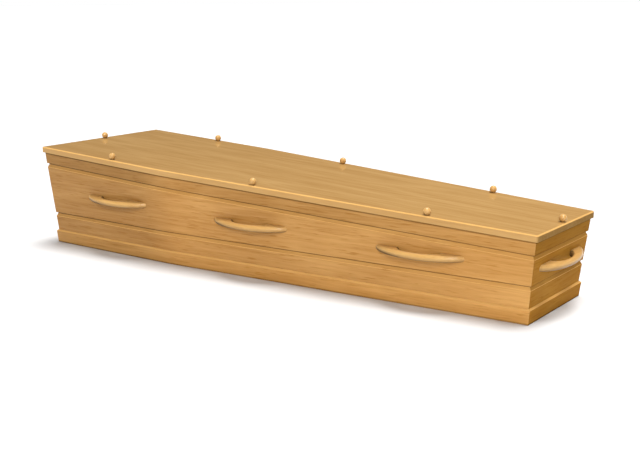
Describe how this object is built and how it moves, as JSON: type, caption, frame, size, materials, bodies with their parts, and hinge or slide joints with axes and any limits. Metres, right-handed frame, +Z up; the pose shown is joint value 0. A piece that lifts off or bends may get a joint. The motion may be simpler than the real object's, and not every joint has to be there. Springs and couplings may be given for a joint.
{
  "type": "wooden coffin",
  "caption": "Six-sided wooden coffin with leaning grooved walls, a plinth, bow handles and a loose flat lid held by ball knobs.",
  "frame": {"origin": "on the floor, in the middle of the overall length and width", "axes": "+X along the length from the head end to the foot end, -Y to the right side of the one who lies in it, +Z up through the lid"},
  "size_m": [2.1296, 0.6848, 0.4123],
  "materials": {
    "oak": "satin lacquered light oak, grain along each board",
    "lid_oak": "smooth satin lacquered light oak, grain along the lid",
    "pale_wood": "rounded and polished pale wood under clear lacquer"
  },
  "bodies": {
    "root": {"bottom_board": "oak", "side_board_right": "oak", "side_board_left": "oak", "head_board": "oak", "foot_board": "oak", "plinth_right": "oak", "plinth_left": "oak", "plinth_head": "oak", "plinth_foot": "oak", "lid": "lid_oak", "handle_right_1": "pale_wood", "handle_right_2": "pale_wood", "handle_right_3": "pale_wood", "handle_left_1": "pale_wood", "handle_left_2": "pale_wood", "handle_left_3": "pale_wood", "handle_head": "pale_wood", "handle_foot": "pale_wood", "knob_right_1": "pale_wood", "knob_right_2": "pale_wood", "knob_right_3": "pale_wood", "knob_left_1": "pale_wood", "knob_left_2": "pale_wood", "knob_left_3": "pale_wood", "knob_head": "pale_wood", "knob_foot": "pale_wood"}
  },
  "joints": []
}
